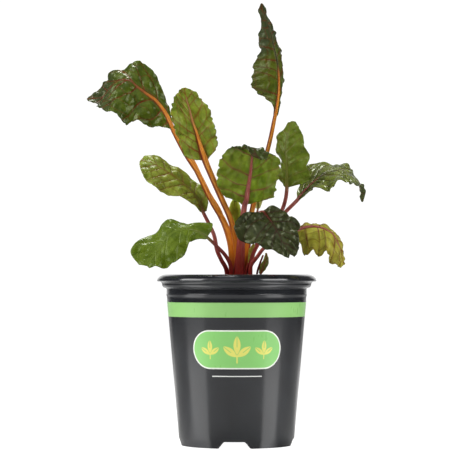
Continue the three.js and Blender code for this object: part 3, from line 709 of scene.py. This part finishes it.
def grow(
    name, stalk, rows=(), *, widths, facing=1, flesh="stalk_red", waves=(0, 1, 0), spacing=3.5, slant=0.9,
    pucker=0.4, ruffle=(0.3, 4), teeth=(0.04, 3), fade=(1, 2, 0), upper=None, under=None,
):
    """Grows a leaf's stalk and, where it has rows, its blade.

    widths are half the stalk's width at its foot, its neck and its tip, and how far it swells between them.
    waves are a height, a number and a start. ruffle is a height and a length, teeth a depth and a length.
    """
    leaf = Leaf(stalk, rows, facing, widths)
    bar = stalk_shape(leaf, 70 if rows else 20, fade)
    finished(f"{name}_petiole", bar, f"{name}_stalk", flesh, stalk_flesh[flesh])
    if not rows:
        return
    length = leaf.station(1)[4] - leaf.station(leaf.neck)[4]
    width = max((right - left).length for left, right in zip(*leaf.sides))
    width = max(width, 0.6 * length)
    cells = round(length / BLADE_CELL), round(width * 1.1 / BLADE_CELL)
    spacing *= MM
    sheet = blade_shape(leaf, *cells, spacing, slant, waves, pucker, ruffle, teeth)
    paints = [
        blade_paint(f"{name}_{side}", spacing=spacing, slant=slant, **skin)
        for side, skin in (("upper", upper), ("under", under))
    ]
    blade = finished(f"{name}_skin", sheet, f"{name}_blade", name.replace("leaf", "blade"), *paints)
    thick = blade.modifiers.new("thickness", "SOLIDIFY")
    thick.thickness = BLADE_THICKNESS
    thick.offset = 0
    thick.material_offset = 1


# The last number sets both the rust at a stalk's far end and the painted shade on its left side.
stalk_flesh = {
    "stalk_orange": stalk_paint("orange_flesh", "720806", "cc7418", "de8c1e", "a85a12", "ecb462", 21, 1.0),
    "stalk_red": stalk_paint("red_flesh", "700003", "902a1e", "9c4a40", "702e26", "c08c84", 16, 0.2),
}

grow("leaf_left_top", [
    (-3, 7, 104.5), (-3, 7, 123), (-3, 8, 136), (-5, 8.5, 148), (-10.5, 9.5, 162), (-19, 11, 177),
    (-29, 13, 197), (-38, 15, 211),
], [
    (-43.5, 15, 223.5, -45.5, 16, 225, -47.5, 17, 231.5),
    (-53, 16, 227.5, -51.5, 18, 237.5, -49, 22, 243.5),
    (-64.5, 16, 229, -58.5, 20, 247, -55, 26, 257),
    (-74, 15, 232, -65, 21, 252, -59.5, 28, 268.5),
    (-80.5, 14, 229, -71.5, 22, 257, -70.5, 30, 277),
    (-87.5, 14, 237, -77.5, 23, 262, -80, 32, 274),
    (-96, 16, 240.5, -85, 26, 262.5, -89, 35, 269),
    (-100, 22, 242, -92, 31, 258, -97, 37, 264),
    (-101, 30, 245, -98, 34, 251, -100.5, 38, 257),
    (-108.5, 33, 248, -109.5, 34, 249.5, -107.5, 36, 252),
], facing=-1, widths=(2.6, 2.1, 0.3, 0.6), flesh="stalk_orange", waves=(1.82, 4.5, 0.4), spacing=12,
    slant=0.7, pucker=1.8, ruffle=(1.2, 12), teeth=(0.04, 6), fade=(0.2, 0.62, 0.05),
    upper=dict(
        young="526018", deep="33400f", vein="642010", bold=0.4, roughness=0.15, tip=("3a4224", 0.62, 0.85),
    ),
    under=dict(young="6b7840", deep="4d5c26", vein="8a4a28", bold=0.5, roughness=0.4),
)

grow("leaf_centre_left", [
    (0, 2.5, 104.5), (0, 2.5, 123), (0, 2.5, 136), (-1.5, 2, 147.5), (-4.5, 0, 161), (-12, -3, 178),
    (-19.5, -6, 195),
], [
    (-25.5, -9, 202, -22.5, -8, 202.5, -20.5, -9, 202.5),
    (-37.5, -13, 205, -25, -9, 209.5, -14, -13, 211),
    (-41.5, -15, 216.5, -27, -10, 216, -13.5, -14, 218.5),
    (-45, -16, 225.5, -29, -10.5, 223, -15.5, -14, 225.5),
    (-47, -16, 234, -31.5, -11, 230, -17, -13, 233.5),
    (-46, -15, 242.5, -33, -11, 236.5, -20.5, -12, 240.5),
    (-43.5, -13, 248.5, -35, -11, 243, -25.5, -11, 247),
    (-41, -11, 251.5, -36.5, -10.5, 249.5, -31.5, -10, 252),
    (-39, -9, 253.5, -37.5, -9, 254, -36.5, -9, 254),
], widths=(2.3, 2.3, 0.35, -0.3), flesh="stalk_orange", waves=(2, 4, 1.1), spacing=7.5, slant=0.75, pucker=2,
    ruffle=(1, 7), teeth=(0.1, 4.5), fade=(0.25, 0.7, 0.22),
    upper=dict(young="566325", deep="364217", vein="6b2a14", bold=0.35, roughness=0.22),
    under=dict(young="8a9632", deep="5c6c18", vein="6e3014", bold=0.24, roughness=0.28, net=0.5),
)

grow("leaf_top", [
    (5.5, 7, 104.5), (6, 7.5, 126), (7, 8, 142.5), (9.5, 10, 159), (14, 12, 180), (19, 14, 198),
    (24, 15, 217),
], [
    (26, 16, 233.5, 27, 15, 231.5, 28, 17, 234.5),
    (23, 19, 246, 29, 15, 242, 30.5, 24, 245),
    (15, 22, 253.5, 30.5, 15, 253, 32, 32, 256),
    (10, 22, 261.5, 30.5, 15, 264, 32, 37, 267.5),
    (13, 21, 272.5, 29.5, 15, 274.5, 31.5, 36, 279),
    (16, 20, 282.5, 27, 15, 285.5, 31.5, 30, 287),
    (16.5, 18, 292.5, 24.5, 14, 295.5, 28.5, 24, 294.5),
    (17.5, 15, 303, 21.5, 13, 305.5, 25, 18, 302.5),
    (16, 12, 311, 18.5, 12, 313, 21.5, 13, 312.5),
    (17.5, 11, 316.5, 18, 11, 317, 19, 11, 316.5),
], widths=(2.3, 1.5, 0.35, 0), flesh="stalk_orange", waves=(2, 4.5, 2), spacing=8, slant=0.8, pucker=1.6,
    ruffle=(1.4, 8), teeth=(0.1, 5.5), fade=(0.34, 0.44, 1),
    upper=dict(young="3e4a1a", deep="262f10", vein="5a2216", bold=0.35, roughness=0.22),
    under=dict(
        young="526214", deep="35440a", vein="54240e", bold=0.28, roughness=0.3, tinged="55421a", tinge=0.2,
        tip=("363e24", 0.5, 0.68),
    ),
)

grow("leaf_middle", [
    (1.5, -4, 104.5), (1.5, -4, 123), (2.5, -5, 134.5), (3, -5.5, 144.5), (4, -6, 155.5),
], [
    (0, -8, 173.5, 5.5, -7, 169.5, 12.5, -8, 173.5),
    (-8, -8, 175.5, 7, -9.5, 174.5, 25.5, -6, 175.2),
    (-12, -9.5, 181, 8, -11, 182, 28.5, -7, 181),
    (-14.5, -11, 188, 9, -12.5, 188, 30, -9, 189),
    (-13.5, -12, 196, 10, -14, 194.5, 30.5, -12, 196),
    (-12, -13, 203, 10.5, -16, 200.5, 31, -15.5, 202),
    (-7, -15, 209, 11, -18, 207, 23.5, -19, 207),
    (1, -18, 212, 10.5, -22, 210.5, 17.5, -23, 209),
    (5, -24.5, 211, 12, -27, 208.5, 22, -27, 206),
    (8.5, -28.5, 207, 13.5, -30, 204.5, 21, -29, 202.5),
    (11.5, -30, 203.5, 14, -30.5, 202.5, 17, -30, 201.5),
], widths=(4.1, 1.9, 0.4, 0), waves=(1.3, 4, 0), spacing=10, slant=0.45, pucker=2.2, ruffle=(1.6, 9),
    teeth=(0.08, 6.3), fade=(0.52, 0.63, 1),
    upper=dict(young="3c481c", deep="263010", vein="3e2018", bold=0.3, roughness=0.15),
    under=dict(
        young="7b911f", deep="526a10", vein="6a302a", bold=0.24, roughness=0.3, tinged="62602a", tinge=0.3,
        net=0.25, tip=("3a4418", 0.63, 0.72),
    ),
)

grow("leaf_right_tall", [
    (10, 9, 104), (10, 11, 123), (11, 15.5, 134.5), (16.5, 16, 146), (25, 15, 156), (32, 11, 166),
    (35, 7, 174.5),
], [
    (34.5, 5, 184, 36, 4, 182.5, 37.5, 3, 184),
    (31, 9, 189, 36, 3, 190.5, 47.5, -2, 186),
    (30.5, 13, 197, 36, 3, 196.5, 52.5, -2, 190),
    (32, 14, 204.5, 36, 3, 203, 51.5, 0, 198.5),
    (28.5, 13, 211.5, 35, 4, 209.5, 51.5, 1, 206.5),
    (29, 12, 219, 35.5, 5, 216, 49, 2, 214),
    (32, 12, 224.5, 37, 6, 222.5, 47, 4, 222),
    (36.5, 12, 229.5, 39, 8, 228, 44.5, 7, 227),
    (39.5, 11, 231.5, 41, 10, 231.5, 42.5, 9.5, 231),
], widths=(1.6, 1.4, 0.2, 0), waves=(1.8, 4, 0.9), spacing=7, pucker=1.5, ruffle=(0.8, 9), teeth=(0.03, 7),
    fade=(-0.05, 0.08, 0.72),
    upper=dict(young="54661f", deep="3b4a12", vein="54461a", bold=0.2, roughness=0.2),
    under=dict(young="647420", deep="4b5b12", vein="5c5a1e", bold=0.2, roughness=0.28),
)

grow("leaf_right_arched", [
    (9, 0, 104.5), (9.5, 1, 123), (10, 2, 130), (12.5, 4, 137.5), (17.5, 5, 146), (26, 5, 156),
    (35.5, 5, 166.5),
], [
    (43, 9, 177, 43.5, 7, 174.5, 45.5, 4, 175.5),
    (45.5, 20, 186, 49, 9, 181, 51, 0, 180),
    (50.5, 29, 199, 55, 10, 187, 56.5, -6, 182.5),
    (60.5, 32, 202, 61.5, 9, 192, 62.5, -10, 181.5),
    (71, 30, 202.5, 68.5, 7, 195, 67.5, -14, 182.5),
    (78, 24, 201, 75.5, 3, 195.5, 74.5, -18, 187),
    (83.5, 14, 195.5, 81.5, -4, 191.5, 81, -20, 186.5),
    (88, -2, 188, 86.5, -12, 185.5, 85, -22, 182.5),
    (90.5, -12, 181, 88.5, -18, 178, 87.5, -22, 177),
    (89.5, -20, 173, 88.5, -21, 172, 87.5, -22, 173),
], facing=-1, widths=(1.7, 1.65, 0.2, 0), waves=(1.6, 3.5, 1.9), spacing=7, pucker=0.8, ruffle=(0.7, 8),
    teeth=(0.03, 6), fade=(0.22, 0.36, 0.95),
    upper=dict(
        young="6e782c", deep="3d481a", vein="44301a", bold=0.2, roughness=0.17, tip=("3a4426", 0.7, 0.9),
    ),
    under=dict(
        young="5c5a1e", deep="464214", vein="5e2e1e", bold=0.35, roughness=0.35, tinged="55381a", tinge=0.6,
    ),
)

grow("leaf_front", [
    (5, 1, 104.5), (4.5, 1.5, 123), (4, 1.5, 134.5), (4.5, 0, 146), (8, -4, 155.5), (13.5, -10, 163.5),
], [
    (20, -19, 167.5, 18, -18, 165.5, 16, -20, 164.5),
    (27, -23, 169, 20.5, -24, 163, 5, -23, 164.5),
    (33, -28, 166.5, 23, -29, 159.5, -1.2, -28, 157.5),
    (38, -31, 160.5, 25, -33, 156.5, -0.5, -33, 148.5),
    (44, -33, 157.5, 27, -37, 153, 10, -38, 142.5),
    (42.5, -38, 151.5, 29, -41, 149, 17.5, -43, 139.5),
    (43.5, -42, 145, 31, -44, 144.5, 26.5, -46, 138),
    (42.5, -45, 138, 33.5, -47, 140.5, 32.5, -48, 133),
    (39.5, -48, 133, 36.5, -49, 135, 36, -49, 132.5),
], facing=-1, widths=(1.6, 1.1, 0.2, 0), waves=(1.9, 3.5, 0.3), spacing=7, slant=0.7, pucker=2.2,
    ruffle=(1.1, 9), teeth=(0.03, 6), fade=(0, 0.1, 0),
    upper=dict(young="3a3f22", deep="232817", vein="301614", bold=0.22, roughness=0.14, net=0.1),
    under=dict(young="464c2c", deep="333a22", vein="5a2426", bold=0.35, roughness=0.4),
)

grow("leaf_right_low", [
    (10, -4.5, 104.5), (9.5, -5, 122), (10.5, -5.5, 128), (14.5, -7, 133.5), (20, -9, 140.5),
    (30.5, -12, 147.5),
], [
    (40.5, -11, 152.5, 40.5, -14, 151, 42, -15, 150),
    (48, -6, 156, 47, -15, 154, 44.5, -16, 143.5),
    (54, -3, 157, 52.5, -16, 155, 48, -19, 134),
    (60.5, -3, 155.5, 58, -18, 154.5, 53.5, -22, 136.5),
    (66.5, -5, 152.5, 63.5, -20, 152.5, 58.5, -25, 135),
    (71.5, -9, 148, 68, -22, 149, 62.5, -27, 136),
    (74, -15, 141.5, 71, -25, 143, 66, -29, 130.5),
    (75.5, -20, 135, 73, -27, 137, 69.5, -30, 127),
    (75.5, -26, 128, 74.5, -28, 127.5, 73, -30, 126),
], widths=(1.7, 1.4, 0.4, 0), waves=(1.8, 3.5, 2.6), spacing=8, slant=0.55, pucker=2, ruffle=(1, 8),
    teeth=(0.07, 5), fade=(0.8, 1, 0.3),
    upper=dict(
        young="7a7a2c", deep="565e1c", vein="6a2620", bold=0.3, roughness=0.2, tinged="6e5a22", tinge=0.5,
    ),
    under=dict(
        young="b6b246", deep="8c8a28", vein="5e2018", bold=0.3, roughness=0.3, tinged="78642a", tinge=0.4,
        net=0.4,
    ),
)

grow("leaf_left_middle", [
    (-7, -0.5, 104.5), (-7, -0.5, 123), (-10.8, 1, 131.3), (-14, 4, 138.7), (-16, 8, 149), (-20, 11, 158),
], [
    (-26, 12, 166, -24, 13, 166, -21.5, 14, 167),
    (-31.5, 10, 172, -27, 14.5, 173.5, -20.5, 20, 175),
    (-38.5, 10, 176.5, -32, 16, 181, -25, 23, 184.5),
    (-45.5, 10, 177.5, -38, 17, 186.5, -33, 25, 191.5),
    (-54, 11, 180.5, -44.5, 18, 191.5, -41, 26, 198),
    (-61.5, 13, 186, -51, 19, 196, -49, 27, 202),
    (-67.5, 16, 192.5, -57.5, 21, 200, -57.5, 28, 207),
    (-70, 21, 199, -64, 24, 203, -64.5, 29, 208.5),
    (-70.5, 26, 203, -69.5, 27, 204.5, -68, 29, 206.5),
], facing=-1, widths=(1.7, 1.3, 0.25, 0), waves=(0.9, 4, 0.8), spacing=7, slant=0.6, pucker=1.4,
    ruffle=(0.35, 9), teeth=(0.02, 5), fade=(-0.05, 0.1, 0.7),
    upper=dict(
        young="8a9a36", deep="5a6a1a", vein="6a4a1c", bold=0.25, roughness=0.26, tinged="6b5420", tinge=0.25,
    ),
    under=dict(young="7e8640", deep="606a2c", vein="7a4426", bold=0.33, roughness=0.4),
)

grow("leaf_left_low", [
    (-4.5, -5, 104.5), (-4, -6, 124.5), (-7.2, -9, 133.5), (-14, -12, 141),
], [
    (-21.5, -15, 146, -21, -14, 147.5, -17.5, -12.5, 152.5),
    (-28, -18, 146, -26.5, -15, 151, -17.5, -11, 158),
    (-32.5, -20, 144.5, -33, -16, 153, -30.5, -10, 156.5),
    (-35, -22, 139, -40, -17, 153, -39, -9, 158.5),
    (-38.5, -24, 133.5, -46.5, -18, 149.5, -48, -9, 160),
    (-44, -25, 128.5, -51.5, -19.5, 144, -56.5, -10, 152.5),
    (-50.5, -26, 126, -55.5, -21, 138.5, -68, -13, 145.5),
    (-57, -26, 126.5, -59.5, -23, 132.5, -75, -18, 137),
    (-61.5, -26, 125.5, -63, -25, 127, -69, -23, 128),
], facing=-1, widths=(1.7, 1.1, 0.25, 0), waves=(1.8, 3.5, 1.7), spacing=8.5, slant=0.75, pucker=0.9,
    ruffle=(0.6, 11), teeth=(0.02, 6), fade=(-0.1, 0.02, 0.74),
    upper=dict(young="60721a", deep="40520a", vein="5a6a1e", bold=0.18, roughness=0.22, net=0.2),
    under=dict(young="85934a", deep="66762f", vein="8a8244", bold=0.33, roughness=0.4),
)

# Painted light: its colours are paler than the leaf's own, to offset the shade it sits in deep in the clump.
grow("leaf_young", [
    (2, 7, 104.5), (1.5, 7.5, 126), (1, 8, 142.5),
], [
    (-1, 7.5, 156, 0.5, 8.5, 154.5, 2, 7.5, 156),
    (-4, 4, 161.5, 0, 8.5, 161, 3, 4, 161.5),
    (-5.5, 3.5, 166.5, -0.5, 8.5, 166, 3, 3.5, 166.5),
    (-4.5, 4, 171.5, -0.5, 8.5, 171, 2, 4, 171.5),
    (-2, 7, 176, -1.5, 8.5, 176.5, -0.5, 7, 176),
], facing=-1, widths=(1.2, 0.5, 0.2, 0), spacing=4, ruffle=(0.3, 5), fade=(-0.2, 0, 0.4),
    upper=dict(young="c8d458", deep="7c8e2a", vein="b0b848", bold=0.12, roughness=0.25, net=0.05),
    under=dict(young="d0d470", deep="a0a850", vein="d09a40", bold=0.2, roughness=0.35, net=0.1),
)

# Painted light: its colours are paler than the leaf's own, to offset the shade it sits in deep in the clump.
grow("leaf_back", [
    (6, 12, 104), (7.5, 14, 126), (10, 17, 146), (12.5, 20, 159),
], [
    (14, 21, 169.5, 15.5, 22, 168.5, 17, 21, 169.5),
    (11.5, 20, 174.5, 15.5, 22, 175, 19, 20, 174.5),
    (10, 21, 180.5, 15.5, 23, 181, 21.5, 21, 180.5),
    (10.5, 22, 187, 15.5, 24, 187, 20, 22, 187),
    (14, 25, 191.5, 15, 26, 192, 16.5, 25, 191.5),
], widths=(1, 0.7, 0.25, 0), spacing=5, slant=0.8, pucker=0.5, ruffle=(0.4, 5), teeth=(0.04, 3.5),
    fade=(-0.1, 0.1, 0.72),
    upper=dict(young="ccd488", deep="aab462", vein="baa865", bold=0.2, roughness=0.3, net=0.1),
    under=dict(young="d0d890", deep="b0ba6c", vein="baa865", bold=0.2, roughness=0.35, net=0.1),
)

# Painted light: its colours are paler than the leaf's own, to offset the shade it sits in deep in the clump.
grow("leaf_inner", [
    (9.5, 5, 104.5), (9.5, 6, 121),
], [
    (8.5, 10, 128.5, 9.5, 10, 128, 11, 10, 128.5),
    (7.5, 11.5, 133, 10, 11.5, 132.5, 12.5, 11.5, 132.5),
    (8, 12, 137, 10.5, 12, 136, 13.5, 12, 136),
    (9.5, 12, 140, 11, 12, 139.5, 13.5, 12, 140),
    (11.5, 12, 143, 12, 12, 143.5, 13, 12, 143),
], facing=-1, widths=(1.1, 0.8, 0.3, 0), fade=(-0.1, 0.1, 0.72),
    upper=dict(young="bcc85a", deep="8a9a38", vein="a08440", bold=0.2, roughness=0.3, net=0.1),
    under=dict(young="c2cc68", deep="949e48", vein="a08440", bold=0.2, roughness=0.35, net=0.1),
)

# Painted light: its colours are paler than the leaf's own, to offset the shade it sits in deep in the clump.
grow("leaf_edge", [
    (15, -1.5, 104.5), (15.5, -2, 116.5),
], [
    (16, -3, 122, 17, -2, 121, 18.5, -2, 122),
    (16.5, -4, 126.5, 18.5, -2, 126, 21.5, -1, 126),
    (18.5, -3.5, 130.5, 20, -1.5, 130, 23, 0, 130),
    (20, -2, 134, 21, -1, 133.5, 22.5, 0, 133.5),
    (20.5, -0.5, 136.5, 21, 0, 136.5, 21.5, 0.5, 136.5),
], facing=-1, widths=(1.1, 0.8, 0.3, 0), fade=(0, 0.3, 0.3),
    upper=dict(young="949e4a", deep="66742e", vein="7e3e30", bold=0.25, roughness=0.28, net=0.2),
    under=dict(young="8a9450", deep="66703a", vein="7e4434", bold=0.25, roughness=0.35, net=0.2),
)

grow("shoot_front", [
    (5.5, -4.5, 104.5), (6.5, -4.5, 121), (7.5, -5, 126.5), (8.5, -5, 129.5),
], widths=(0.9, 0.7, 0.4, 0))

grow("shoot_side", [
    (13.5, 2.5, 104.5), (14.5, 2.5, 121), (16.5, 3, 128.5), (18, 3, 132.5), (19, 3, 135),
], widths=(0.8, 0.6, 0.4, 0))


# Studio. A pale floor that runs out of sight, under a white sky. Two broad soft lamps stand beside the plant,
# a small one hangs over it, a wide one is behind it and a faint one is high in front. The floor's colour is
# painted darker away from the plant and behind it as painted shade, and it glows in a pool to each side of
# the plant and in a patch straight behind it as painted light, shown only in reflections and in the light it
# throws, not to the camera.
POT_FOOT = 0.042
floor = bmesh.new()
bmesh.ops.create_grid(floor, x_segments=4, y_segments=4, size=14)
floor_mesh = bpy.data.meshes.new("floor")
floor.to_mesh(floor_mesh)
floor.free()
floor = bpy.data.objects.new("floor", floor_mesh)
bpy.context.scene.collection.objects.link(floor)
floor_paper, start = new_paint("pale_paper")
place = start.add("ShaderNodeTexCoord", {}, {}, output=3)
x, y, _ = place.parts()
reach = (x * x + y * y) ** 0.5
behind = y.rise(-0.08, 0.12)
# Painted shade: the floor's colour darkens away from the plant and behind it, so the glossy pot mirrors a
# dark floor there.
painted_floor_shade = reach.rise(0.55, 0.95).at_least(behind * 0.55)
matt = start.add("ShaderNodeBsdfDiffuse", {}, {"Color": painted_floor_shade.blend(tint("d2d2d1"), tint("50504f"))})


def past_line(across, turn, soft=0.002):
    """1 beyond a line on the floor that leaves the pot's foot at that turn and bends away from it."""
    here, away = math.radians(turn), math.radians(2 * turn)
    aside = (across - POT_FOOT * math.sin(here)) * math.cos(away)
    aside = aside + (y + POT_FOOT * math.cos(here)) * math.sin(away)
    return aside.rise(-soft, soft)


def glow(strength):
    return start.add("ShaderNodeEmission", {}, {"Color": (1, 1, 1, 1), "Strength": strength})


# Painted light: the floor glows in a pool to each side of the plant and in a patch straight behind it. The
# floor is no lamp, and this glow shows only in reflections and in the light it throws, not to the camera.
left_painted_pool = past_line(-x, 28.5) * (1 - past_line(-x, 48, 0.022))
right_painted_pool = past_line(x, 25.5) * (1 - past_line(x, 41.5, 0.006))
in_front = 1 - y.rise(0.03, 0.06)
painted_light_pools = (left_painted_pool * 1.9 + right_painted_pool * 2.2) * (1 - reach.rise(0.35, 0.62)) * in_front
painted_glow_behind = y.rise(0.05, 0.15) * (1 - (abs(x) - 0.7 * y).rise(-0.03, 0.08))
floor_with_painted_glow = start.add("ShaderNodeAddShader", {}, {0: matt, 1: glow(painted_light_pools + painted_glow_behind * 0.4)})
shadowed = start.add("ShaderNodeMixShader", {}, {0: 0.72, 1: matt, 2: glow(1.0)})
open_floor = start.add("ShaderNodeAddShader", {}, {0: shadowed, 1: glow(0.3)})
seen = start.add("ShaderNodeLightPath", {}, {})
surface = start.add("ShaderNodeMixShader", {}, {0: seen, 1: floor_with_painted_glow, 2: open_floor})
start.add("ShaderNodeOutputMaterial", {}, {"Surface": surface})
floor_mesh.materials.append(floor_paper)


def soft_lamp(name, spot, aim, size, power):
    lamp = bpy.data.lights.new(name, "AREA")
    lamp.shape = "RECTANGLE"
    lamp.size, lamp.size_y = size
    lamp.energy = power
    holder = bpy.data.objects.new(name, lamp)
    holder.location = spot
    holder.rotation_euler = (Vector(aim) - Vector(spot)).to_track_quat("-Z", "Y").to_euler()
    bpy.context.scene.collection.objects.link(holder)
    return holder


soft_lamp("left_softbox", (-0.97, -0.32, 0.75), (0, 0, 0.12), (0.76, 0.6), 11.5)
soft_lamp("right_softbox", (0.88, -0.51, 0.75), (0, 0, 0.12), (0.8, 0.5), 9)
soft_lamp("overhead_softbox", (-0.15, 0.4, 1.25), (0, 0, 0.2), (0.3, 0.22), 8)
soft_lamp("back_softbox", (0.1, 0.9, 0.9), (0, 0, 0.18), (0.9, 0.45), 9).visible_glossy = False
sun = bpy.data.lights.new("high_window", "SUN")
sun.energy = 0.8
sun.angle = math.radians(60)
window = bpy.data.objects.new("high_window", sun)
window.rotation_euler = (math.radians(32), math.radians(-14), 0)
bpy.context.scene.collection.objects.link(window)
sky = bpy.data.worlds.new("white_surround")
sky.use_nodes = True
sky.node_tree.nodes.clear()
start = Wire(sky.node_tree)
direction = start.add("ShaderNodeTexCoord", {}, {})
backdrop = direction.parts()[1].rise(0.82, 0.95)
seen = start.add("ShaderNodeLightPath", {}, {})
strength = seen.at_least(0.12 + backdrop * 0.95)
sky_light = start.add("ShaderNodeBackground", {}, {"Color": (1, 1, 1, 1), "Strength": strength})
start.add("ShaderNodeOutputWorld", {}, {"Surface": sky_light})
bpy.context.scene.world = sky
bpy.context.scene.view_settings.view_transform = "Standard"
